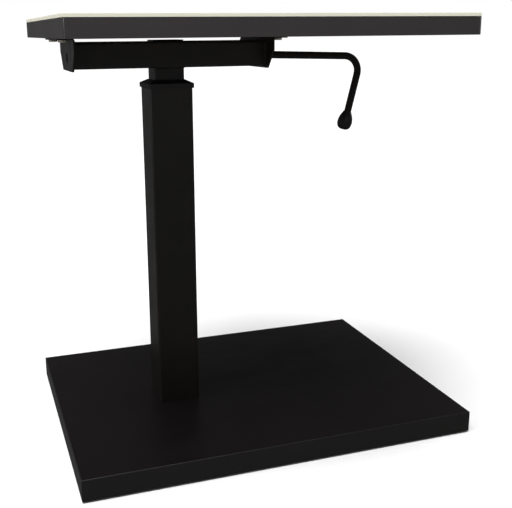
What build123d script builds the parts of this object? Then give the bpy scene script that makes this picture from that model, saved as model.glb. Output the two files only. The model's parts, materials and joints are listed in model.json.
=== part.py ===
from build123d import *
import math
import os

# Height adjustable desk on one pneumatic column, in millimetres.
# +Z is up, +X runs along the long front edge and +Y to the back. The origin is on the floor
# under the middle of the base, and the top is at its lowest height.

# ---- driving dimensions: base slab ----
BASE_X, BASE_Y, BASE_T = 711.0, 530.0, 38.0
GLIDE_T, GLIDE_R, GLIDE_INSET = 3.0, 16.0, 40.0
GLIDE_PIN_R, GLIDE_PIN_L, GLIDE_CHAMFER = 2.0, 14.0, 1.0
LAMINATE_T = 1.0
BAND_T = 2.0
BACKING_SIDE, BACKING_T, BACKING_CORNER, RECESS_DEPTH = 140.0, 4.0, 6.0, 10.0
BAND_ROUND = 0.8

# ---- driving dimensions: column ----
COLUMN_X = -134.0
OUTER_SIDE, OUTER_WALL, OUTER_CORNER = 76.2, 3.0, 4.5
INNER_SIDE, INNER_WALL, INNER_CORNER = 53.0, 3.0, 3.5
OUTER_TOP = 628.0
FOOT_PLATE_T = 10.0
BOLT_GAP = 0.5
BOLT_OFFSET, BOLT_R, BOLT_HEAD_AF, BOLT_HEAD_T = 22.0, 4.0, 13.0, 5.3
BUSH_DEPTH, COLLAR_SIDE, COLLAR_T, COLLAR_CORNER = 72.0, 81.5, 8.0, 5.0
COLLAR_BEVEL_T, COLLAR_BEVEL_SIDE = 6.0, 57.0
SLIDE_GAP = 0.2
FIT_GAP = 0.05
STROKE = 400.0
INNER_BOTTOM, GLIDE_BLOCK_H = 75.0, 60.0

# ---- driving dimensions: gas spring ----
CYL_R, CYL_WALL, CYL_BOTTOM, CYL_TOP = 14.0, 1.5, 60.0, 600.0
CYL_FLOOR_T = 8.0
GUIDE_T, SEAL_T = 11.0, 3.0
PISTON_T, PISTON_ROD_R, RELEASE_PIN_R = 20.0, 5.0, 1.95
PISTON_END_GAP = 1.0
SEPARATOR_Z, SEPARATOR_T = 120.0, 14.0
ANCHOR_Z, ANCHOR_T = 642.0, 6.0
NUT_AF, NUT_T = 17.0, 8.0
RING_DROP, RING_H, RING_DEPTH = 4.0, 4.0, 2.0

# ---- driving dimensions: beam under the top ----
BEAM_HALF_LENGTH = 171.5
BEAM_BOTTOM, BEAM_TOP = 663.5, 707.5
BEAM_HALF = 50.8
SHEET_T = 3.0
LIP = 14.0
BEND_R = 2.0
PLATE_HALF_TOP, PLATE_HALF_BOTTOM = 87.5, 59.0
PLATE_BOTTOM, PLATE_KNEE = 660.0, 690.5
PLATE_CORNER_R, PLATE_TOP_CUT = 3.0, 6.0
FLANGE_REACH, FLANGE_CORNER_R = 25.5, 4.0
ROD_HOLE_R = 9.0
SCREW_Y, SCREW_X, SCREW_R, SCREW_DEPTH, SCREW_GAP = 66.0, 14.0, 3.0, 18.0, 0.3
SCREW_HEAD_R, SCREW_HEAD_T, SCREW_HEAD_ROUND, SOCKET_AF, SOCKET_DEPTH = 7.5, 3.8, 1.8, 4.0, 2.4
INSERT_R, INSERT_L = 5.0, 20.0
GUSSET_T, GUSSET_TOP = 6.0, 702.0

# ---- driving dimensions: desktop ----
TOP_LEFT, TOP_X, TOP_Y = -345.0, 660.0, 565.0
UNDERSIDE, CORE_T, PANEL_T, PANEL_ROUND = 714.5, 29.0, 5.5, 1.2
HEAD_TOP = 710.0
CAP_T = 3.0

# ---- driving dimensions: release lever ----
ROD_R, ROD_Z = 6.75, 681.5
ROD_CORNER_X, ROD_BEND_R = 249.3, 28.0
DROOP_X, DROOP, DROOP_BEND_R = 48.0, 1.7, 150.0
ARM_LEAN = 14.2
KNOB_START, KNOB_L, KNOB_R, KNOB_NECK_R, KNOB_FLAT_R = 107.5, 35.0, 14.0, 8.0, 4.5
KNOB_SOCKET = 24.0
CAM_R, CAM_T, CAM_TRAVEL, LEVER_SWING = 10.0, 10.0, 2.5, 30.0
CAM_GAP, PIN_TIP_R = 0.3, 1.5
ROLL_PIN_R, ROLL_PIN_SINK = 1.5, 0.2
BUSH_R, BUSH_FLANGE_R, BUSH_FLANGE_T, END_BUSH_R = 8.5, 10.5, 1.5, 11.5
SHAFT_COLLAR_R, SHAFT_COLLAR_T = 11.5, 10.0
SET_SCREW_R, SET_SCREW_SINK, SET_SOCKET_AF, SET_SOCKET_DEPTH = 2.5, 0.3, 2.5, 1.8
ROD_TAIL = 4.0
STOP_X, STOP_PEG_R, STOP_PEG_RADIUS, STOP_EAR_R = -72.0, 2.5, 17.0, 21.0
STOP_PLATE_HALF, STOP_PLATE_TOP, STOP_FOOT, STOP_GAP = 32.0, 702.0, 14.0, 0.5
STOP_PEG_GAP, STOP_ROD_GAP, STOP_EAR_HALF = 0.3, 1.5, 4.0

# ---- derived levels ----
BASE_BOTTOM = GLIDE_T
BASE_TOP = BASE_BOTTOM + BASE_T
BASE_CORE_TOP = BASE_TOP - LAMINATE_T
RECESS_TOP = BASE_BOTTOM + RECESS_DEPTH
BACKING_BOTTOM = RECESS_TOP - BACKING_T
CORE_TOP = UNDERSIDE + CORE_T
INNER_TOP = HEAD_TOP - CAP_T
OUTER_BORE = OUTER_SIDE - 2 * OUTER_WALL
INNER_BORE = INNER_SIDE - 2 * INNER_WALL
CYL_BORE_R = CYL_R - CYL_WALL
PIN_TOP = ROD_Z - CAM_R - CAM_GAP
FLANGE_BOTTOM = UNDERSIDE - SHEET_T
CHANNEL_FLOOR = BEAM_BOTTOM + SHEET_T
PISTON_TOP = CYL_TOP - SEAL_T - GUIDE_T - PISTON_END_GAP - STROKE
ROD_CORNER_Z = ROD_Z - (ROD_CORNER_X - DROOP_X) * math.tan(math.radians(DROOP))


def block(x0, x1, y0, y1, z0, z1):
    """Box between two opposite corners."""
    return Pos((x0 + x1) / 2, (y0 + y1) / 2, (z0 + z1) / 2) * Box(x1 - x0, y1 - y0, z1 - z0)


def post(x, y, z0, z1, radius):
    """Round bar standing along Z."""
    return Pos(x, y, (z0 + z1) / 2) * Cylinder(radius, z1 - z0)


def bar(x0, x1, radius, y=0.0, z=ROD_Z):
    """Round bar lying along X."""
    return Pos((x0 + x1) / 2, y, z) * Rot(0, 90, 0) * Cylinder(radius, x1 - x0)


def square_post(side, corner, z0, z1, x=COLUMN_X):
    """Square bar with rounded corners standing along Z on the column's axis."""
    return Pos(x, 0, z0) * extrude(RectangleRounded(side, side, corner), amount=z1 - z0)


def hex_post(x, y, z0, z1, across_flats):
    """Hexagonal head or nut standing along Z."""
    return Pos(x, y, z0) * extrude(RegularPolygon(across_flats / 2, 6, major_radius=False), amount=z1 - z0)


def prism_x(points, x0, x1):
    """Polygon of (Y, Z) points drawn out along X."""
    outline = Plane.YZ.offset(x0) * make_face(Polyline(*points, close=True))
    return extrude(outline, amount=x1 - x0)


# ---- base slab and its feet ----
def bolt_places():
    """The four bolts that hold the column to the base."""
    return [(COLUMN_X + sx * BOLT_OFFSET, sy * BOLT_OFFSET) for sx in (-1, 1) for sy in (-1, 1)]


def glide_places():
    """The four glides, by name."""
    x, y = BASE_X / 2 - GLIDE_INSET, BASE_Y / 2 - GLIDE_INSET
    return {"front_left": (-x, -y), "front_right": (x, -y), "back_left": (-x, y), "back_right": (x, y)}


def base_core():
    """Board inside the slab, with the recess and holes for the column bolts and glide pins."""
    half_x, half_y = BASE_X / 2 - BAND_T, BASE_Y / 2 - BAND_T
    core = block(-half_x, half_x, -half_y, half_y, BASE_BOTTOM, BASE_CORE_TOP)
    side = BACKING_SIDE + 2
    core -= Pos(COLUMN_X, 0, BASE_BOTTOM + RECESS_DEPTH / 2) * Box(side, side, RECESS_DEPTH)
    for x, y in bolt_places():
        core -= post(x, y, BASE_BOTTOM, BASE_CORE_TOP, BOLT_R + BOLT_GAP)
    for x, y in glide_places().values():
        core -= post(x, y, BASE_BOTTOM, BASE_BOTTOM + GLIDE_PIN_L + 1, GLIDE_PIN_R + FIT_GAP)
    return core


def base_laminate():
    """Black laminate sheet on the slab."""
    half_x, half_y = BASE_X / 2 - BAND_T, BASE_Y / 2 - BAND_T
    sheet = block(-half_x, half_x, -half_y, half_y, BASE_CORE_TOP, BASE_TOP)
    for x, y in bolt_places():
        sheet -= post(x, y, BASE_CORE_TOP, BASE_TOP, BOLT_R + BOLT_GAP)
    return sheet


def edge_bands(x0, x1, y0, y1, z0, z1):
    """Four edge strips round a board: the side strips run past the ends of the front and back ones."""
    strips = {
        "left": block(x0, x0 + BAND_T, y0, y1, z0, z1),
        "right": block(x1 - BAND_T, x1, y0, y1, z0, z1),
        "front": block(x0 + BAND_T, x1 - BAND_T, y0, y0 + BAND_T, z0, z1),
        "back": block(x0 + BAND_T, x1 - BAND_T, y1 - BAND_T, y1, z0, z1),
    }
    return strips


def glide(x, y):
    """Low round glide with a chamfered rim, on a plain pin."""
    disc = post(x, y, 0, GLIDE_T, GLIDE_R)
    disc = chamfer(disc.edges().group_by(Axis.Z)[0], GLIDE_CHAMFER)
    return disc + post(x, y, GLIDE_T, GLIDE_T + GLIDE_PIN_L, GLIDE_PIN_R)


# ---- column parts that stay on the base ----
def backing_plate():
    """Steel plate in the recess under the slab, which spreads the bolts' load."""
    plate = square_post(BACKING_SIDE, BACKING_CORNER, BACKING_BOTTOM, RECESS_TOP)
    for x, y in bolt_places():
        plate -= post(x, y, BACKING_BOTTOM, RECESS_TOP, BOLT_R + BOLT_GAP)
    return plate


def column_bolts():
    """Four hexagon bolts driven up into the foot plate."""
    bolts = []
    for x, y in bolt_places():
        head = hex_post(x, y, BACKING_BOTTOM - BOLT_HEAD_T, BACKING_BOTTOM, BOLT_HEAD_AF)
        bolts.append(head + post(x, y, BACKING_BOTTOM, BASE_TOP + FOOT_PLATE_T - 1, BOLT_R - FIT_GAP))
    return Compound(children=bolts)


def foot_plate():
    """Thick plate welded inside the foot of the outer tube, tapped for the bolts and the gas spring."""
    plate = square_post(OUTER_BORE, 2.5, BASE_TOP, BASE_TOP + FOOT_PLATE_T)
    for x, y in bolt_places():
        plate -= post(x, y, BASE_TOP, BASE_TOP + FOOT_PLATE_T, BOLT_R)
    return plate - post(COLUMN_X, 0, BASE_TOP, BASE_TOP + FOOT_PLATE_T, PISTON_ROD_R + FIT_GAP)


def outer_tube():
    """Square outer tube of the column."""
    tube = square_post(OUTER_SIDE, OUTER_CORNER, BASE_TOP, OUTER_TOP)
    return tube - square_post(OUTER_BORE, OUTER_CORNER - OUTER_WALL, BASE_TOP, OUTER_TOP)


def top_bush():
    """Nylon guide bush with a bevelled collar that caps the outer tube."""
    sleeve = square_post(OUTER_BORE - 2 * FIT_GAP, 2.0, OUTER_TOP - BUSH_DEPTH, OUTER_TOP)
    rim = OUTER_TOP + COLLAR_T
    peak = rim + COLLAR_BEVEL_T
    collar = square_post(COLLAR_SIDE, COLLAR_CORNER, OUTER_TOP, rim)
    low = Pos(COLUMN_X, 0, rim) * RectangleRounded(COLLAR_SIDE, COLLAR_SIDE, COLLAR_CORNER)
    high = Pos(COLUMN_X, 0, peak) * RectangleRounded(COLLAR_BEVEL_SIDE, COLLAR_BEVEL_SIDE, COLLAR_CORNER)
    bevel = loft([low, high])
    bore = square_post(INNER_SIDE + 2 * SLIDE_GAP, INNER_CORNER, OUTER_TOP - BUSH_DEPTH, peak)
    return sleeve + collar + bevel - bore


def gas_cylinder():
    """Pressure tube of the gas spring, closed at the foot."""
    tube = post(COLUMN_X, 0, CYL_BOTTOM, CYL_TOP, CYL_R)
    return tube - post(COLUMN_X, 0, CYL_BOTTOM + CYL_FLOOR_T, CYL_TOP, CYL_BORE_R)


def cylinder_stud():
    """Threaded stud that screws the cylinder into the foot plate."""
    return post(COLUMN_X, 0, BASE_TOP, CYL_BOTTOM, PISTON_ROD_R)


def ring_nut(z0, z1, hole_r):
    """Hexagon nut on the gas spring's axis."""
    return hex_post(COLUMN_X, 0, z0, z1, NUT_AF) - post(COLUMN_X, 0, z0, z1, hole_r)


def cylinder_ring(z0, z1, outer_r, inner_r):
    """Plain ring on the gas spring's axis."""
    return post(COLUMN_X, 0, z0, z1, outer_r) - post(COLUMN_X, 0, z0, z1, inner_r)


# ---- column parts that rise ----
def inner_tube():
    """Square inner tube, bored through both side walls for the lever rod's bushes."""
    tube = square_post(INNER_SIDE, INNER_CORNER, INNER_BOTTOM, INNER_TOP)
    tube -= square_post(INNER_BORE, INNER_CORNER - INNER_WALL, INNER_BOTTOM, INNER_TOP)
    return tube - bar(COLUMN_X - INNER_SIDE, COLUMN_X + INNER_SIDE, BUSH_R)


def lower_glide():
    """Nylon glide block round the foot of the inner tube."""
    ring = square_post(OUTER_BORE - 2 * SLIDE_GAP, 3.0, INNER_BOTTOM, INNER_BOTTOM + GLIDE_BLOCK_H)
    return ring - square_post(
        INNER_SIDE + 2 * FIT_GAP, INNER_CORNER, INNER_BOTTOM, INNER_BOTTOM + GLIDE_BLOCK_H
    )


def head_cap():
    """Plate that closes the inner tube above the beam."""
    return square_post(INNER_SIDE, INNER_CORNER, INNER_TOP, HEAD_TOP)


def anchor_plate():
    """Plate welded across the inner tube, which the piston rod pushes up."""
    plate = square_post(INNER_BORE, 1.5, ANCHOR_Z, ANCHOR_Z + ANCHOR_T)
    return plate - post(COLUMN_X, 0, ANCHOR_Z, ANCHOR_Z + ANCHOR_T, PISTON_ROD_R + FIT_GAP)


def piston_rod():
    """Hollow rod of the gas spring, with the release pin's bore right through it."""
    bottom = PISTON_TOP - PISTON_T / 2
    top = ANCHOR_Z + ANCHOR_T + NUT_T + 2
    rod = post(COLUMN_X, 0, bottom, top, PISTON_ROD_R)
    return rod - post(COLUMN_X, 0, bottom, top, RELEASE_PIN_R + FIT_GAP)


def piston():
    """Valve piston on the lower end of the rod, grooved for its ring."""
    body = post(COLUMN_X, 0, PISTON_TOP - PISTON_T, PISTON_TOP, CYL_BORE_R - 2 * FIT_GAP)
    body -= post(COLUMN_X, 0, PISTON_TOP - PISTON_T / 2, PISTON_TOP, PISTON_ROD_R + FIT_GAP)
    body -= post(COLUMN_X, 0, PISTON_TOP - PISTON_T, PISTON_TOP - PISTON_T / 2, RELEASE_PIN_R + 1)
    groove_top = PISTON_TOP - RING_DROP
    return body - cylinder_ring(groove_top - RING_H, groove_top, CYL_BORE_R, CYL_BORE_R - RING_DEPTH)


def piston_ring():
    """Sealing ring in the piston's groove."""
    top = PISTON_TOP - RING_DROP - FIT_GAP
    bottom = PISTON_TOP - RING_DROP - RING_H + FIT_GAP
    return cylinder_ring(bottom, top, CYL_BORE_R - FIT_GAP, CYL_BORE_R - RING_DEPTH + FIT_GAP)


# ---- beam ----
def beam_channel():
    """Folded sheet channel, open on top between two lips, that carries the desktop."""
    x0, x1 = COLUMN_X - BEAM_HALF_LENGTH + SHEET_T, COLUMN_X + BEAM_HALF_LENGTH - SHEET_T
    wall = BEAM_HALF - SHEET_T / 2
    low, high = BEAM_BOTTOM + SHEET_T / 2, BEAM_TOP - SHEET_T / 2
    mouth = BEAM_HALF - LIP
    fold = FilletPolyline(
        (-mouth, high),
        (-wall, high),
        (-wall, low),
        (wall, low),
        (wall, high),
        (mouth, high),
        radius=BEND_R + SHEET_T / 2,
    )
    section = Plane.YZ.offset(x0) * trace(fold, line_width=SHEET_T)
    channel = extrude(section, amount=x1 - x0)
    return channel - square_post(INNER_SIDE + 2 * SLIDE_GAP, INNER_CORNER, BEAM_BOTTOM, CHANNEL_FLOOR)


def plate_outline(x0, x1):
    """Outline of an end plate drawn out along X: tapered below the knee, its top corners cut."""
    half = [
        (PLATE_HALF_BOTTOM, PLATE_BOTTOM),
        (PLATE_HALF_TOP, PLATE_KNEE),
        (PLATE_HALF_TOP, UNDERSIDE - PLATE_TOP_CUT),
        (PLATE_HALF_TOP - PLATE_TOP_CUT, UNDERSIDE),
    ]
    outline = half + [(-y, z) for y, z in reversed(half)]
    solid = prism_x(outline, x0, x1)
    low_and_knee = solid.edges().filter_by(Axis.X).group_by(Axis.Z)[:2]
    return fillet(low_and_knee[0] + low_and_knee[1], PLATE_CORNER_R)


def end_plate(side):
    """End plate with its mounting flange folded outwards, side -1 or 1 of the column."""
    face = COLUMN_X + side * BEAM_HALF_LENGTH
    back = face - side * SHEET_T
    tip = face + side * FLANGE_REACH
    profile = FilletPolyline(
        (back + side * SHEET_T / 2, PLATE_BOTTOM),
        (back + side * SHEET_T / 2, UNDERSIDE - SHEET_T / 2),
        (tip, UNDERSIDE - SHEET_T / 2),
        radius=BEND_R + SHEET_T / 2,
    )
    section = Plane.XZ * trace(profile, line_width=SHEET_T)
    plate = extrude(section, amount=PLATE_HALF_TOP, both=True)
    upright = plate.edges().filter_by(Axis.Z).group_by(Axis.X)
    plate = fillet(upright[0] if side < 0 else upright[-1], FLANGE_CORNER_R)
    plate &= plate_outline(min(back, tip) - 1, max(back, tip) + 1)
    plate -= bar(min(back, face), max(back, face), ROD_HOLE_R)
    for y in (-SCREW_Y, SCREW_Y):
        plate -= post(face + side * SCREW_X, y, FLANGE_BOTTOM, UNDERSIDE, SCREW_R + SCREW_GAP)
    return plate


def gusset(side):
    """Gusset from the column head to the beam's wall, side -1 in front or 1 behind."""
    near, far = sorted((side * INNER_SIDE / 2, side * (BEAM_HALF - SHEET_T)))
    x0, x1 = COLUMN_X - GUSSET_T / 2, COLUMN_X + GUSSET_T / 2
    rib = block(x0, x1, near, far, CHANNEL_FLOOR, GUSSET_TOP)
    foot = bar(x0, x1, BEND_R, y=side * (BEAM_HALF - SHEET_T), z=CHANNEL_FLOOR)
    return rib - foot


def screw_places():
    """The four screws through the flanges into the desktop."""
    reach = BEAM_HALF_LENGTH + SCREW_X
    return [(COLUMN_X + sx * reach, sy * SCREW_Y) for sx in (-1, 1) for sy in (-1, 1)]


def mounting_screws():
    """Four pan head screws driven up into the desktop."""
    screws = []
    for x, y in screw_places():
        head = post(x, y, FLANGE_BOTTOM - SCREW_HEAD_T, FLANGE_BOTTOM, SCREW_HEAD_R)
        head = fillet(head.edges().group_by(Axis.Z)[0], SCREW_HEAD_ROUND)
        face = FLANGE_BOTTOM - SCREW_HEAD_T
        head -= hex_post(x, y, face, face + SOCKET_DEPTH, SOCKET_AF)
        screws.append(head + post(x, y, FLANGE_BOTTOM, UNDERSIDE + SCREW_DEPTH, SCREW_R))
    return Compound(children=screws)


def threaded_inserts():
    """Four brass inserts sunk in the desktop core."""
    inserts = []
    for x, y in screw_places():
        sleeve = post(x, y, UNDERSIDE, UNDERSIDE + INSERT_L, INSERT_R)
        inserts.append(sleeve - post(x, y, UNDERSIDE, UNDERSIDE + INSERT_L, SCREW_R + FIT_GAP))
    return Compound(children=inserts)


# ---- desktop ----
def desktop_core():
    """Board of the desktop, bored for the threaded inserts."""
    x0, x1 = TOP_LEFT + BAND_T, TOP_LEFT + TOP_X - BAND_T
    core = block(x0, x1, -TOP_Y / 2 + BAND_T, TOP_Y / 2 - BAND_T, UNDERSIDE, CORE_TOP)
    for x, y in screw_places():
        core -= post(x, y, UNDERSIDE, UNDERSIDE + INSERT_L, INSERT_R + FIT_GAP)
    return core


def top_panel():
    """Pale worktop panel with softened upper edges."""
    panel = block(TOP_LEFT, TOP_LEFT + TOP_X, -TOP_Y / 2, TOP_Y / 2, CORE_TOP, CORE_TOP + PANEL_T)
    return fillet(panel.edges().group_by(Axis.Z)[-1], PANEL_ROUND)


# ---- release lever ----
def arm_direction():
    """Unit vector down the lever's arm."""
    lean = math.radians(ARM_LEAN)
    return Vector(-math.sin(lean), 0, -math.cos(lean))


def arm_point(distance):
    """Point on the arm's centre line, at a distance from the rod's corner."""
    return Vector(ROD_CORNER_X, 0, ROD_CORNER_Z) + arm_direction() * distance


def lever_rod():
    """Bent round rod, from the far side of the column head, drooping a little outside the beam."""
    start = Vector(COLUMN_X - INNER_SIDE / 2 - SHAFT_COLLAR_T - ROD_TAIL, 0, ROD_Z)
    path = FilletPolyline(
        start,
        Vector(DROOP_X, 0, ROD_Z),
        arm_point(0),
        arm_point(KNOB_START + KNOB_SOCKET - 0.5),
        radius=[DROOP_BEND_R, ROD_BEND_R],
    )
    rod = sweep(Plane(start, z_dir=(1, 0, 0)) * Circle(ROD_R), path=path)
    return rod - post_y(COLUMN_X, ROD_Z, CAM_R, ROLL_PIN_R + FIT_GAP)


def post_y(x, z, half, radius):
    """Round bar lying along Y, through the column's middle plane."""
    return Pos(x, 0, z) * Rot(90, 0, 0) * Cylinder(radius, 2 * half)


def lever_knob():
    """Teardrop knob, moulded round the end of the arm."""
    widest = KNOB_L * 0.58
    outline = Spline(
        (KNOB_NECK_R, 0),
        (KNOB_R, widest),
        (KNOB_FLAT_R, KNOB_L),
        tangents=((0.8, 1), (-1, 0.12)),
    )
    edges = [outline, Polyline((KNOB_FLAT_R, KNOB_L), (0, KNOB_L), (0, 0), (KNOB_NECK_R, 0))]
    half = Plane.XZ * make_face(Curve() + edges)
    body = revolve(half, Axis.Z)
    body -= Pos(0, 0, KNOB_SOCKET / 2) * Cylinder(ROD_R + FIT_GAP, KNOB_SOCKET)
    place = Plane(arm_point(KNOB_START), x_dir=(0, 1, 0), z_dir=arm_direction())
    return place.location * body


def cam_radius(angle):
    """Cam radius at an angle from straight down, where the -Y side climbs at a steady rate."""
    climb = 40.0
    rate = CAM_TRAVEL / LEVER_SWING
    if angle >= 0:
        return CAM_R
    if angle >= -climb:
        return CAM_R - rate * angle
    back = (-angle - climb) / (180 - climb)
    return CAM_R + rate * climb * (1 + math.cos(math.pi * back)) / 2


def release_cam():
    """Cam on the lever rod that presses the gas spring's release pin."""
    points = []
    for angle in range(-180, 180, 8):
        radius = cam_radius(angle)
        turn = math.radians(angle)
        points.append((radius * math.sin(turn), ROD_Z - radius * math.cos(turn)))
    outline = make_face(Spline(*points, periodic=True))
    x0 = COLUMN_X - CAM_T / 2
    cam = extrude(Plane.YZ.offset(x0) * outline, amount=CAM_T)
    cam -= bar(x0, x0 + CAM_T, ROD_R + FIT_GAP)
    return cam - post_y(COLUMN_X, ROD_Z, 2 * CAM_R, ROLL_PIN_R + FIT_GAP)


def release_pin():
    """Long pin that runs down inside the piston rod to the valve."""
    bottom = PISTON_TOP - PISTON_T + CAM_TRAVEL + 0.5
    pin = post(COLUMN_X, 0, bottom, PIN_TOP, RELEASE_PIN_R)
    return fillet(pin.edges().group_by(Axis.Z)[-1], PIN_TIP_R)


def shaft_collar(x0):
    """Plain collar on the lever rod, drilled on top for its set screw."""
    x1 = x0 + SHAFT_COLLAR_T
    ring = bar(x0, x1, SHAFT_COLLAR_R) - bar(x0, x1, ROD_R + FIT_GAP)
    return ring - post((x0 + x1) / 2, 0, ROD_Z + ROD_R, ROD_Z + SHAFT_COLLAR_R, SET_SCREW_R + FIT_GAP)


def set_screw(x0):
    """Headless screw that locks a collar to the rod."""
    x = x0 + SHAFT_COLLAR_T / 2
    low, high = ROD_Z + ROD_R + FIT_GAP, ROD_Z + SHAFT_COLLAR_R - SET_SCREW_SINK
    return post(x, 0, low, high, SET_SCREW_R) - hex_post(x, 0, high - SET_SOCKET_DEPTH, high, SET_SOCKET_AF)


def stop_collar():
    """Collar with an ear and a peg, whose peg runs in the stop plate's curved slot."""
    x0 = STOP_X - SHAFT_COLLAR_T
    ear = block(x0, STOP_X, 0, STOP_EAR_R, ROD_Z - STOP_EAR_HALF, ROD_Z + STOP_EAR_HALF)
    collar = bar(x0, STOP_X, SHAFT_COLLAR_R) + ear - bar(x0, STOP_X, ROD_R + FIT_GAP)
    collar -= post(x0 + SHAFT_COLLAR_T / 2, 0, ROD_Z + ROD_R, ROD_Z + SHAFT_COLLAR_R, SET_SCREW_R + FIT_GAP)
    return collar + bar(STOP_X, STOP_X + SHEET_T + 2, STOP_PEG_R, y=STOP_PEG_RADIUS)


def stop_plate():
    """Upright plate on the beam's floor, slotted to end the lever's swing each way."""
    x0 = STOP_X + STOP_GAP
    x1 = x0 + SHEET_T
    x2 = x1 + STOP_FOOT
    half = STOP_PLATE_HALF
    plate = block(x0, x1, -half, half, CHANNEL_FLOOR, STOP_PLATE_TOP)
    plate += block(x1, x2, -half, half, CHANNEL_FLOOR, CHANNEL_FLOOR + SHEET_T)
    plate -= bar(x0, x2, ROD_R + STOP_ROD_GAP)
    clear = STOP_PEG_R + STOP_PEG_GAP
    steps = 6
    for step in range(steps + 1):
        turn = math.radians(LEVER_SWING * step / steps)
        y, z = STOP_PEG_RADIUS * math.cos(turn), ROD_Z + STOP_PEG_RADIUS * math.sin(turn)
        plate -= bar(x0, x1, clear, y=y, z=z)
    return plate


def rod_bush(x_face, side, outer_r, flange_r, wall):
    """Flanged nylon bush pressed into a wall, its flange on the side named."""
    x_back = x_face - side * wall
    x_rim = x_face + side * BUSH_FLANGE_T
    bush = bar(min(x_back, x_face), max(x_back, x_face), outer_r - FIT_GAP)
    bush += bar(min(x_face, x_rim), max(x_face, x_rim), flange_r)
    return bush - bar(min(x_back, x_rim), max(x_back, x_rim), ROD_R + FIT_GAP)


# ---- every sub-part, by node name ----
def base_nodes():
    """Sub-parts that stand on the floor and never move."""
    nodes = {
        "base_core": base_core(),
        "base_top_laminate": base_laminate(),
        "column_backing_plate": backing_plate(),
        "column_bolts": column_bolts(),
        "column_foot_plate": foot_plate(),
        "outer_tube": outer_tube(),
        "top_bush": top_bush(),
        "gas_cylinder": gas_cylinder(),
        "cylinder_stud": cylinder_stud(),
        "cylinder_lock_nut": ring_nut(BASE_TOP + FOOT_PLATE_T, CYL_BOTTOM - 1, PISTON_ROD_R + FIT_GAP),
        "rod_guide": cylinder_ring(
            CYL_TOP - GUIDE_T - SEAL_T, CYL_TOP - SEAL_T, CYL_BORE_R - FIT_GAP, PISTON_ROD_R + FIT_GAP
        ),
        "rod_seal": cylinder_ring(CYL_TOP - SEAL_T, CYL_TOP, CYL_BORE_R - FIT_GAP, PISTON_ROD_R + FIT_GAP),
        "separator_piston": post(
            COLUMN_X, 0, SEPARATOR_Z, SEPARATOR_Z + SEPARATOR_T, CYL_BORE_R - FIT_GAP
        ),
    }
    bands = edge_bands(-BASE_X / 2, BASE_X / 2, -BASE_Y / 2, BASE_Y / 2, BASE_BOTTOM, BASE_TOP)
    for side, strip in bands.items():
        outer = strip.edges().group_by(Axis.Z)[-1]
        nodes["base_edge_" + side] = fillet(outer, BAND_ROUND)
    for place, (x, y) in glide_places().items():
        nodes["glide_" + place] = glide(x, y)
    return nodes


def lift_nodes():
    """Sub-parts that rise with the desktop."""
    left_wall, right_wall = COLUMN_X - INNER_SIDE / 2, COLUMN_X + INNER_SIDE / 2
    nut_z = ANCHOR_Z + ANCHOR_T
    nodes = {
        "inner_tube": inner_tube(),
        "lower_glide": lower_glide(),
        "head_cap": head_cap(),
        "anchor_plate": anchor_plate(),
        "piston_rod": piston_rod(),
        "piston": piston(),
        "piston_ring": piston_ring(),
        "rod_lock_nut": ring_nut(nut_z, nut_z + NUT_T, PISTON_ROD_R + FIT_GAP),
        "beam_channel": beam_channel(),
        "end_plate_left": end_plate(-1),
        "end_plate_right": end_plate(1),
        "gusset_front": gusset(-1),
        "gusset_back": gusset(1),
        "head_bush_left": rod_bush(left_wall, -1, BUSH_R, BUSH_FLANGE_R, INNER_WALL),
        "head_bush_right": rod_bush(right_wall, 1, BUSH_R, BUSH_FLANGE_R, INNER_WALL),
        "end_bush": rod_bush(COLUMN_X + BEAM_HALF_LENGTH, 1, ROD_HOLE_R, END_BUSH_R, SHEET_T),
        "stop_plate": stop_plate(),
        "desktop_core": desktop_core(),
        "top_panel": top_panel(),
        "mounting_screws": mounting_screws(),
        "threaded_inserts": threaded_inserts(),
    }
    bands = edge_bands(TOP_LEFT, TOP_LEFT + TOP_X, -TOP_Y / 2, TOP_Y / 2, UNDERSIDE, CORE_TOP)
    for side, strip in bands.items():
        nodes["top_edge_" + side] = strip
    return nodes


def lever_nodes():
    """Sub-parts that swing with the lever, and the release pin."""
    collar_x = COLUMN_X - INNER_SIDE / 2 - BUSH_FLANGE_T - 0.5 - SHAFT_COLLAR_T
    return {
        "lever_rod": lever_rod(),
        "lever_knob": lever_knob(),
        "release_cam": release_cam(),
        "cam_roll_pin": post_y(COLUMN_X, ROD_Z, CAM_R - ROLL_PIN_SINK, ROLL_PIN_R),
        "retaining_collar": shaft_collar(collar_x),
        "retaining_collar_screw": set_screw(collar_x),
        "stop_collar": stop_collar(),
        "stop_collar_screw": set_screw(STOP_X - SHAFT_COLLAR_T),
        "release_pin": release_pin(),
    }


os.makedirs("parts", exist_ok=True)
for name, shape in {**base_nodes(), **lift_nodes(), **lever_nodes()}.items():
    export_step(shape, "parts/" + name + ".step")
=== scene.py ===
import json
import math

import bmesh
import bpy
from mathutils import Matrix, Vector


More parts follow.
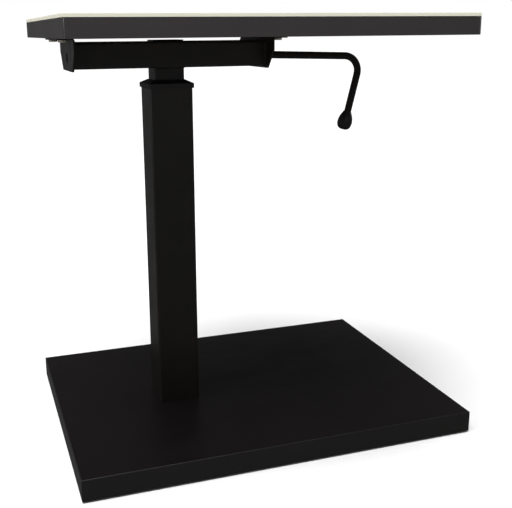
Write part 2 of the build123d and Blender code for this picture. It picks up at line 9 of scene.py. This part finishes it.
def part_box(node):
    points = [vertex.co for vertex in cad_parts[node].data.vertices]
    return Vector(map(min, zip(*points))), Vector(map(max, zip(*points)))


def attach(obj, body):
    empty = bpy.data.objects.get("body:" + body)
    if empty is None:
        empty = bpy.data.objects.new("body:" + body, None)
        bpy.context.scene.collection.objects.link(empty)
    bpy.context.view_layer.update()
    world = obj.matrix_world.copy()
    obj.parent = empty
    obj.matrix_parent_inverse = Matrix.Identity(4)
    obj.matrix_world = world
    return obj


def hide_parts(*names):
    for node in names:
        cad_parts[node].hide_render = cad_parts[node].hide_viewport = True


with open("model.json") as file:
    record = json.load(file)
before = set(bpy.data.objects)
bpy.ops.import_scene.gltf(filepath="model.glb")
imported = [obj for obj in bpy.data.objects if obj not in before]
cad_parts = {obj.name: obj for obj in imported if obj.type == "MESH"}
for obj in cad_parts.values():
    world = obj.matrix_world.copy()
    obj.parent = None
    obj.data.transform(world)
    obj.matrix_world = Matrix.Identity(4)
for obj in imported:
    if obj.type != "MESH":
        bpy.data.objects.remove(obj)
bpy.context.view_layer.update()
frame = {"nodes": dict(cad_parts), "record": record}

# ---- sizes in metres, angles in radians, counts and ratios ----
MM = 0.001
WELD_RADIUS = 2.0 * MM
WELD_PITCH = 2.6 * MM
WELD_SPOKES = 10
WELD_STEPS_PER_RIPPLE = 6
WELD_LOW, WELD_SWELL, WELD_ROUNDNESS = 0.86, 0.16, 0.7
WELD_END_TAPER = 0.5
WELD_WANDER, WELD_WANDER_RATE = 0.12, 1.7
WELD_INSET = 3 * MM
GUSSET_WELD_INSET = 2 * MM
BAND_BEVEL = 0.8 * MM
BAND_BEVEL_SEGMENTS = 2
BAND_SHARP_ANGLE = math.radians(40)
JOIN_GAP = 0.01 * MM
GLUE_HALF_WIDTH = 0.6 * MM
GLUE_SINK = 0.1 * MM
GLUE_DEPTH = 0.9 * MM
GLUE_FOOT, GLUE_HEAD = 0.5 * MM, 0.2 * MM
ARM_LEAN, KNOB_LEAN = math.radians(14.2), math.radians(15.7)
KNOB_SIDE = 10.27 * MM  # from the right side of the CAD knob's box to the middle of its neck
KNOB_NECK = 8.0 * MM  # radius of the neck
KNOB_SPOKES = 48
BACKER_DEPTH = 0.2 * MM
LAMINATE_PEBBLE = 0.012 * MM

# ---- colours, linear ----
POWDER_BLACK = (0.0062, 0.0050, 0.0041)
LAMINATE_BLACK = (0.0042, 0.0032, 0.0034)
EDGE_BLACK = (0.0088, 0.0078, 0.0076)
CHARCOAL = (0.0285, 0.0252, 0.0250)
CREAM = (0.695, 0.68, 0.565)
NYLON_BLACK = (0.0062, 0.0057, 0.0052)
KNOB_BLACK = (0.0040, 0.0040, 0.0040)
BOARD_BROWN = (0.30, 0.21, 0.13)
BACKER_GREY = (0.045, 0.040, 0.036)
ZINC = (0.55, 0.55, 0.53)
BLACK_ZINC = (0.30, 0.27, 0.23)
STEEL = (0.62, 0.62, 0.62)
BRASS = (0.62, 0.44, 0.18)
ALUMINIUM = (0.7, 0.7, 0.71)
# glue line colour, made pale as a painted highlight of the edge strips' rounded corner
GLUE_PAINTED_HIGHLIGHT_GREY = (0.085, 0.078, 0.076)
FLOOR_WHITE = (0.90, 0.90, 0.90)


# ---- node helpers ----
class Shader:
    """A new material with one Principled shader and short calls for its nodes."""

    def __init__(self, name, colour, roughness, metallic=0.0, specular=0.5):
        self.material = bpy.data.materials.new(name)
        self.material.use_nodes = True
        self.nodes = self.material.node_tree.nodes
        self.links = self.material.node_tree.links
        self.shader = self.nodes["Principled BSDF"]
        self.shader.inputs["Base Color"].default_value = (*colour, 1)
        self.shader.inputs["Roughness"].default_value = roughness
        self.shader.inputs["Metallic"].default_value = metallic
        self.shader.inputs["Specular IOR Level"].default_value = specular
        self.place = self.nodes.new("ShaderNodeTexCoord").outputs["Object"]
        self.height = None

    def stretch(self, scale):
        """Object coordinates scaled by three factors."""
        mapping = self.nodes.new("ShaderNodeMapping")
        mapping.inputs["Scale"].default_value = scale
        self.links.new(self.place, mapping.inputs["Vector"])
        return mapping.outputs["Vector"]

    def noise(self, size, detail=3.0, place=None):
        """Noise whose blobs are about size metres across."""
        node = self.nodes.new("ShaderNodeTexNoise")
        node.inputs["Scale"].default_value = 1 / size
        node.inputs["Detail"].default_value = detail
        self.links.new(place or self.place, node.inputs["Vector"])
        return node.outputs["Fac"]

    def ramp(self, value, low, high, start=0.0, end=1.0):
        """Maps value from low..high to start..end."""
        node = self.nodes.new("ShaderNodeMapRange")
        self.links.new(value, node.inputs["Value"])
        for name, number in (("From Min", low), ("From Max", high), ("To Min", start), ("To Max", end)):
            node.inputs[name].default_value = number
        return node.outputs["Result"]

    def mix(self, factor, first, second):
        """Blend of two colours by a factor; a colour is a triple or a socket."""
        node = self.nodes.new("ShaderNodeMix")
        node.data_type = "RGBA"
        self.links.new(factor, node.inputs["Factor"])
        for socket, colour in ((node.inputs[6], first), (node.inputs[7], second)):
            if isinstance(colour, tuple):
                socket.default_value = (*colour, 1)
            else:
                self.links.new(colour, socket)
        return node.outputs[2]

    def colour(self, socket):
        """Takes the colour from a socket."""
        self.links.new(socket, self.shader.inputs["Base Color"])

    def roughness(self, socket):
        """Takes the roughness from a socket."""
        self.links.new(socket, self.shader.inputs["Roughness"])

    def bump(self, value, depth):
        """Adds a bump of a depth in metres on top of any earlier one."""
        node = self.nodes.new("ShaderNodeBump")
        node.inputs["Distance"].default_value = depth
        self.links.new(value, node.inputs["Height"])
        if self.height is not None:
            self.links.new(self.height, node.inputs["Normal"])
        self.height = node.outputs["Normal"]
        self.links.new(self.height, self.shader.inputs["Normal"])


def brighter(colour, factor):
    """A colour times a factor, which may also dim it."""
    return tuple(channel * factor for channel in colour)


# ---- materials ----
def powder_coat(name, colour=POWDER_BLACK, roughness=0.36, specular=0.42):
    """Satin powder coat: orange peel, slightly uneven gloss and faint dust."""
    look = Shader(name, colour, roughness, specular=specular)
    look.bump(look.noise(1.6 * MM, 2.0), 0.05 * MM)
    look.bump(look.noise(0.35 * MM, 2.0), 0.012 * MM)
    look.roughness(look.ramp(look.noise(60 * MM), 0.3, 0.7, roughness - 0.05, roughness + 0.07))
    dust = look.ramp(look.noise(25 * MM, 5.0), 0.45, 0.75)
    look.colour(look.mix(dust, colour, brighter(colour, 1.35)))
    return look.material


def laminate(name, colour, roughness, specular, cloud):
    """Pressed laminate sheet: fine pebble, cloudy gloss, faint wiping marks."""
    look = Shader(name, colour, roughness, specular=specular)
    look.bump(look.noise(0.25 * MM, 2.0), LAMINATE_PEBBLE)
    look.bump(look.noise(2.4 * MM, 2.0), LAMINATE_PEBBLE * 2)
    smear = look.noise(90 * MM, 4.0, look.stretch((1.0, 2.6, 1.0)))
    look.roughness(look.ramp(smear, 0.3, 0.7, roughness - 0.04, roughness + 0.08))
    tone = look.ramp(look.noise(140 * MM, 4.0), 0.35, 0.7)
    look.colour(look.mix(tone, colour, brighter(colour, cloud)))
    return look.material


def edge_band(name, colour, roughness, specular):
    """Extruded plastic edge band: fine lines along it and a soft sheen."""
    look = Shader(name, colour, roughness, specular=specular)
    lines = look.noise(1.2 * MM, 2.0, look.stretch((0.003, 0.003, 1.0)))
    look.bump(lines, 0.02 * MM)
    look.bump(look.noise(0.5 * MM, 2.0), 0.01 * MM)
    look.roughness(look.ramp(look.noise(150 * MM), 0.3, 0.7, roughness - 0.02, roughness + 0.03))
    tone = look.ramp(look.noise(80 * MM, 4.0), 0.35, 0.7)
    look.colour(look.mix(tone, brighter(colour, 0.97), brighter(colour, 1.04)))
    return look.material


def particle_board(name, node):
    """Chipboard with a dark backing sheet on its lowest face."""
    backer_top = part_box(node)[0].z + BACKER_DEPTH
    look = Shader(name, BOARD_BROWN, 0.75, specular=0.3)
    chips = look.noise(3 * MM, 4.0, look.stretch((1.0, 1.0, 2.5)))
    board = look.mix(look.ramp(chips, 0.3, 0.7), brighter(BOARD_BROWN, 0.6), brighter(BOARD_BROWN, 1.3))
    fibres = look.ramp(look.noise(30 * MM, 5.0), 0.3, 0.7)
    backer = look.mix(fibres, BACKER_GREY, brighter(BACKER_GREY, 1.3))
    split = look.nodes.new("ShaderNodeSeparateXYZ")
    look.links.new(look.place, split.inputs["Vector"])
    above = look.ramp(split.outputs["Z"], backer_top, backer_top + 0.1 * MM)
    look.colour(look.mix(above, backer, board))
    look.bump(chips, 0.06 * MM)
    return look.material


def nylon(name, colour=NYLON_BLACK):
    """Moulded nylon with a fine spark-eroded texture."""
    look = Shader(name, colour, 0.58, specular=0.4)
    look.bump(look.noise(0.5 * MM, 3.0), 0.03 * MM)
    look.roughness(look.ramp(look.noise(12 * MM), 0.3, 0.7, 0.52, 0.64))
    return look.material


def zinc_plate(name, colour=ZINC, roughness=0.32, metallic=0.85):
    """Zinc plated steel with a cloudy passivated film."""
    look = Shader(name, colour, roughness, metallic=metallic)
    film = look.ramp(look.noise(6 * MM, 5.0), 0.35, 0.7)
    look.colour(look.mix(film, colour, brighter(colour, 0.78)))
    look.roughness(look.ramp(look.noise(2 * MM, 3.0), 0.3, 0.7, roughness - 0.06, roughness + 0.12))
    look.bump(look.noise(0.4 * MM, 2.0), 0.01 * MM)
    return look.material


def turned_metal(name, colour, roughness):
    """Turned or ground metal, with fine rings along Z."""
    look = Shader(name, colour, roughness, metallic=1.0)
    rings = look.noise(0.6 * MM, 2.0, look.stretch((0.05, 0.05, 1.0)))
    look.bump(rings, 0.01 * MM)
    look.roughness(look.ramp(rings, 0.3, 0.7, roughness * 0.8, roughness * 1.3))
    return look.material


def soft_moulding(name):
    """Soft dark moulding or rubber with a slightly uneven gloss."""
    look = Shader(name, KNOB_BLACK, 0.45, specular=0.4)
    look.bump(look.noise(0.8 * MM, 3.0), 0.04 * MM)
    look.roughness(look.ramp(look.noise(15 * MM, 4.0), 0.3, 0.7, 0.38, 0.52))
    wear = look.ramp(look.noise(8 * MM, 5.0), 0.45, 0.75)
    look.colour(look.mix(wear, KNOB_BLACK, brighter(KNOB_BLACK, 1.5)))
    return look.material


SLOT_MATERIALS = {
    "base_laminate": laminate("base_laminate_satin", LAMINATE_BLACK, 0.36, 0.14, 1.25),
    "base_edge": edge_band("base_edge_satin", EDGE_BLACK, 0.34, 0.4),
    "nylon_black": nylon("nylon_matt"),
    "powder_black": powder_coat("powder_coat_black"),
    "zinc_steel": zinc_plate("zinc_plated_steel"),
    "black_zinc": zinc_plate("black_zinc_plated_steel", BLACK_ZINC, 0.3, 0.5),
    "cylinder_black": powder_coat("cylinder_enamel", roughness=0.22, specular=0.5),
    "ground_steel": turned_metal("ground_steel", STEEL, 0.12),
    "seal_rubber": soft_moulding("seal_rubber"),
    "brass": turned_metal("brass_insert", BRASS, 0.3),
    "cream_laminate": laminate("cream_laminate", CREAM, 0.4, 0.45, 1.02),
    "charcoal_band": edge_band("charcoal_band", CHARCOAL, 0.42, 0.45),
    "knob_black": soft_moulding("knob_soft_black"),
    "aluminium": turned_metal("turned_aluminium", ALUMINIUM, 0.3),
}
NODE_MATERIALS = {
    "lever_rod": powder_coat("lever_coat_black", POWDER_BLACK, 0.45, 0.14),
    "base_core": particle_board("base_board", "base_core"),
    "desktop_core": particle_board("desktop_board", "desktop_core"),
}
# glue material whose pale grey is a painted highlight of the edge strips' rounded corner
GLUE_PAINTED_HIGHLIGHT_MATERIAL = nylon("pale_glue_painted_highlight", GLUE_PAINTED_HIGHLIGHT_GREY)


def dress_cad_nodes():
    """Gives every CAD node its own material, or else the material of its slot."""
    slots = {part["node"]: part["material_slot"] for part in frame["record"]["subparts"]}
    for name, node in frame["nodes"].items():
        node.data.materials.clear()
        node.data.materials.append(NODE_MATERIALS.get(name) or SLOT_MATERIALS[slots[name]])


# ---- mesh helpers ----
def mesh_piece(name, mesh, material, body):
    """Object from a bmesh, which rides on a body and takes a material."""
    data = bpy.data.meshes.new(name)
    mesh.to_mesh(data)
    mesh.free()
    piece = bpy.data.objects.new(name, data)
    bpy.context.scene.collection.objects.link(piece)
    data.materials.append(material)
    for face in data.polygons:
        face.use_smooth = True
    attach(piece, body)
    return piece


def add_ring(mesh, centre, across, side, radius, count):
    """Circle of vertices round a centre, in the plane of two unit vectors."""
    ring = []
    for spoke in range(count):
        turn = 2 * math.pi * spoke / count
        ring.append(mesh.verts.new(centre + (across * math.cos(turn) + side * math.sin(turn)) * radius))
    return ring


def skin(mesh, rings):
    """Closed surface through rings of equally many vertices, with a flat face at each end."""
    count = len(rings[0])
    for first, second in zip(rings, rings[1:]):
        for spoke in range(count):
            after = (spoke + 1) % count
            mesh.faces.new((first[spoke], first[after], second[after], second[spoke]))
    mesh.faces.new(rings[0])
    mesh.faces.new(list(reversed(rings[-1])))
    bmesh.ops.recalc_face_normals(mesh, faces=mesh.faces)


def soften(piece):
    """Joins a band's faces, then rounds its sharp edges and shades them evenly."""
    weld = piece.modifiers.new("joined_faces", "WELD")
    weld.merge_threshold = JOIN_GAP
    bevel = piece.modifiers.new("soft_edges", "BEVEL")
    bevel.width = BAND_BEVEL
    bevel.segments = BAND_BEVEL_SEGMENTS
    bevel.limit_method = "ANGLE"
    bevel.angle_limit = BAND_SHARP_ANGLE
    bevel.harden_normals = True


# ---- knob on the lever ----
def knob_profile():
    """Radius of the knob at steps down its axis, in millimetres: neck ring, egg body, flat end."""
    ring = [(0.0, 7.0), (0.0, 8.0), (0.5, 8.6), (1.3, 8.7), (1.9, 8.3), (2.2, 8.2)]
    body = [(3.0, 9.0), (5.5, 10.5), (8.5, 11.9), (12.5, 13.1), (16.5, 13.9), (20.5, 14.2)]
    parting = [(22.2, 14.15), (22.5, 13.9), (22.8, 14.1)]
    end = [(25.0, 13.75), (28.5, 12.8), (31.5, 11.1), (33.6, 8.6), (34.8, 5.2), (35.0, 2.4)]
    return ring + body + parting + end


def add_knob():
    """Soft moulded knob with a neck ring and a parting line, in place of the plain CAD knob."""
    low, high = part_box("lever_knob")
    start = Vector((high.x - KNOB_SIDE, (low.y + high.y) / 2, high.z - KNOB_NECK * math.sin(ARM_LEAN)))
    down = Vector((-math.sin(KNOB_LEAN), 0, -math.cos(KNOB_LEAN)))
    across = Vector((0, 1, 0))
    side = down.cross(across)
    mesh = bmesh.new()
    rings = [
        add_ring(mesh, start + down * depth * MM, across, side, radius * MM, KNOB_SPOKES)
        for depth, radius in knob_profile()
    ]
    skin(mesh, rings)
    knob = mesh_piece("knob_moulding", mesh, SLOT_MATERIALS["knob_black"], "lever")
    smooth = knob.modifiers.new("smooth", "SUBSURF")
    smooth.levels = 1
    smooth.render_levels = 2
    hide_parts("lever_knob")


# ---- weld beads ----
def weld_bead(name, start, end):
    """Rippled bead of weld from one point to another."""
    along = end - start
    length = along.length
    along.normalize()
    across = along.orthogonal().normalized()
    side = along.cross(across)
    count = max(2, round(length / WELD_PITCH)) * WELD_STEPS_PER_RIPPLE
    mesh = bmesh.new()
    rings = []
    for step in range(count + 1):
        phase = (step % WELD_STEPS_PER_RIPPLE) / WELD_STEPS_PER_RIPPLE
        ripple = math.sin(math.pi * phase) ** WELD_ROUNDNESS
        radius = WELD_RADIUS * (WELD_LOW + WELD_SWELL * ripple)
        if step in (0, count):
            radius *= WELD_END_TAPER
        swing = math.sin(WELD_WANDER_RATE * step / WELD_STEPS_PER_RIPPLE)
        wander = WELD_WANDER * WELD_RADIUS * swing
        centre = start + along * (length * step / count) + (across + side) * wander
        rings.append(add_ring(mesh, centre, across, side, radius, WELD_SPOKES))
    skin(mesh, rings)
    mesh_piece(name, mesh, SLOT_MATERIALS["powder_black"], "lift")


def add_welds():
    """Beads round the beam's ends, round the column's head under the beam and down the gussets."""
    low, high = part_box("beam_channel")
    tube_low, tube_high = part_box("inner_tube")
    foot, head = low.z + WELD_INSET, high.z - WELD_INSET
    front, back = low.y + WELD_INSET, high.y - WELD_INSET
    for place, x in (("left", low.x), ("right", high.x)):
        for side, y in (("front", low.y), ("back", high.y)):
            weld_bead(f"weld_{place}_{side}", Vector((x, y, foot)), Vector((x, y, head)))
        weld_bead(f"weld_{place}_below", Vector((x, front, low.z)), Vector((x, back, low.z)))
    left, right = tube_low.x + WELD_INSET, tube_high.x - WELD_INSET
    for side, y in (("front", tube_low.y), ("back", tube_high.y)):
        weld_bead(f"weld_head_{side}", Vector((left, y, low.z)), Vector((right, y, low.z)))
    front, back = tube_low.y + WELD_INSET, tube_high.y - WELD_INSET
    for side, x in (("left", tube_low.x), ("right", tube_high.x)):
        weld_bead(f"weld_head_{side}", Vector((x, front, low.z)), Vector((x, back, low.z)))
    for name in ("gusset_front", "gusset_back"):
        rib_low, rib_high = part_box(name)
        near = rib_high.y if name == "gusset_front" else rib_low.y
        foot, head = rib_low.z + GUSSET_WELD_INSET, rib_high.z - GUSSET_WELD_INSET
        for side, x in (("left", rib_low.x), ("right", rib_high.x)):
            weld_bead(f"weld_{name}_{side}", Vector((x, near, foot)), Vector((x, near, head)))


# ---- glue lines, made pale as a painted highlight, where the desktop's edge strips meet ----
def add_glue_and_painted_highlights():
    """Glue line in the groove between a side strip and the front or back one, made pale as a painted
    highlight of the strips' rounded corner.
    """
    surface = [(-GLUE_HALF_WIDTH, GLUE_SINK), (0, GLUE_SINK * 1.5), (GLUE_HALF_WIDTH, GLUE_SINK)]
    corners = surface + [(GLUE_HALF_WIDTH, GLUE_DEPTH), (-GLUE_HALF_WIDTH, GLUE_DEPTH)]
    for end, inward in (("front", 1), ("back", -1)):
        low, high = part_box(f"top_edge_{end}")
        face = low.y if end == "front" else high.y
        for side, x in (("left", low.x), ("right", high.x)):
            mesh = bmesh.new()
            rings = [
                [mesh.verts.new((x + across, face + inward * back, z)) for across, back in corners]
                for z in (low.z + GLUE_FOOT, high.z - GLUE_HEAD)
            ]
            skin(mesh, rings)
            mesh_piece(f"glue_line_{end}_{side}", mesh, GLUE_PAINTED_HIGHLIGHT_MATERIAL, "lift")


# ---- camera, lights and floor ----
CAMERA_PLACE = Vector((-0.4861, -1.4252, 0.7225))
CAMERA_YAW, CAMERA_PITCH, CAMERA_ROLL = 0.32529, 0.24861, -0.00855
CAMERA_NEAR, CAMERA_FAR = 0.05, 60
SENSOR = 36.0
FOCAL_WIDTHS = 1.585547  # focal length over the picture's width
SHIFT_RIGHT, SHIFT_UP = 0.038281, -0.031836  # parts of the picture's width
FLOOR_HALF = 30
WORLD_LIGHT = 0.10
SUN_TOWARDS, SUN_STRENGTH, SUN_ANGLE = (0.2, 0.14, -1.0), 4.2, math.radians(50)
LIGHT_TARGET = (0, 0, 0.5)
SOFTBOXES = (  # name, place, width and height, watts
    ("softbox_left", (-2.6, -0.2, 1.5), (1.6, 2.4), 18),
    ("softbox_front", (0.2, -3.2, 1.8), (2.0, 1.2), 8),
    ("softbox_back", (-2.2, 2.4, 1.5), (1.6, 2.2), 2),
    ("softbox_right", (2.9, 0.7, 1.5), (1.6, 2.2), 9),
)


def add_camera():
    """Camera at the front left, just below the level of the worktop, with a slight shift."""
    data = bpy.data.cameras.new("camera")
    data.sensor_width = SENSOR
    data.lens = FOCAL_WIDTHS * SENSOR
    data.shift_x = SHIFT_RIGHT
    data.shift_y = SHIFT_UP
    data.clip_start, data.clip_end = CAMERA_NEAR, CAMERA_FAR
    camera = bpy.data.objects.new("camera", data)
    forward = Vector(
        (
            math.sin(CAMERA_YAW) * math.cos(CAMERA_PITCH),
            math.cos(CAMERA_YAW) * math.cos(CAMERA_PITCH),
            -math.sin(CAMERA_PITCH),
        )
    )
    right = Vector((math.cos(CAMERA_YAW), -math.sin(CAMERA_YAW), 0))
    up = right.cross(forward)
    turned_right = right * math.cos(CAMERA_ROLL) + up * math.sin(CAMERA_ROLL)
    turned_up = up * math.cos(CAMERA_ROLL) - right * math.sin(CAMERA_ROLL)
    camera.matrix_world = Matrix(
        (
            (turned_right.x, turned_up.x, -forward.x, CAMERA_PLACE.x),
            (turned_right.y, turned_up.y, -forward.y, CAMERA_PLACE.y),
            (turned_right.z, turned_up.z, -forward.z, CAMERA_PLACE.z),
            (0, 0, 0, 1),
        )
    )
    bpy.context.scene.collection.objects.link(camera)
    bpy.context.scene.camera = camera


def add_area_light(name, place, size, power):
    """Soft rectangular light that faces the desk."""
    data = bpy.data.lights.new(name, "AREA")
    data.shape = "RECTANGLE"
    data.size, data.size_y = size
    data.energy = power
    light = bpy.data.objects.new(name, data)
    light.location = place
    light.rotation_euler = (Vector(LIGHT_TARGET) - Vector(place)).to_track_quat("-Z", "Y").to_euler()
    bpy.context.scene.collection.objects.link(light)


def add_sun():
    """Even top light that keeps the floor near white."""
    data = bpy.data.lights.new("sun", "SUN")
    data.energy = SUN_STRENGTH
    data.angle = SUN_ANGLE
    sun = bpy.data.objects.new("sun", data)
    sun.rotation_euler = Vector(SUN_TOWARDS).to_track_quat("-Z", "Y").to_euler()
    bpy.context.scene.collection.objects.link(sun)


def add_world():
    """White surroundings to look at, dimmer ones to light and to reflect."""
    world = bpy.data.worlds.new("studio")
    world.use_nodes = True
    tree = world.node_tree
    background = tree.nodes["Background"]
    background.inputs["Color"].default_value = (1, 1, 1, 1)
    path = tree.nodes.new("ShaderNodeLightPath")
    strength = tree.nodes.new("ShaderNodeMapRange")
    strength.inputs["To Min"].default_value = WORLD_LIGHT
    strength.inputs["To Max"].default_value = 1.0
    tree.links.new(path.outputs["Is Camera Ray"], strength.inputs["Value"])
    tree.links.new(strength.outputs["Result"], background.inputs["Strength"])
    bpy.context.scene.world = world


def add_floor():
    """Plain pale floor, which is kept out of reflections."""
    mesh = bmesh.new()
    bmesh.ops.create_grid(mesh, x_segments=1, y_segments=1, size=FLOOR_HALF)
    data = bpy.data.meshes.new("floor")
    mesh.to_mesh(data)
    mesh.free()
    floor = bpy.data.objects.new("floor", data)
    look = Shader("floor_white", FLOOR_WHITE, 0.7, specular=0.2)
    look.colour(look.mix(look.noise(0.4, 2.0), FLOOR_WHITE, brighter(FLOOR_WHITE, 0.98)))
    data.materials.append(look.material)
    bpy.context.scene.collection.objects.link(floor)
    floor.visible_glossy = False


def set_stage():
    """Camera, floor and lights."""
    bpy.context.scene.view_settings.view_transform = "Standard"
    add_camera()
    add_world()
    add_floor()
    add_sun()
    for name, place, size, power in SOFTBOXES:
        add_area_light(name, place, size, power)


set_stage()
dress_cad_nodes()
add_knob()
add_welds()
add_glue_and_painted_highlights()
for node_name in ("top_edge_front", "top_edge_back", "top_edge_left", "top_edge_right"):
    soften(frame["nodes"][node_name])
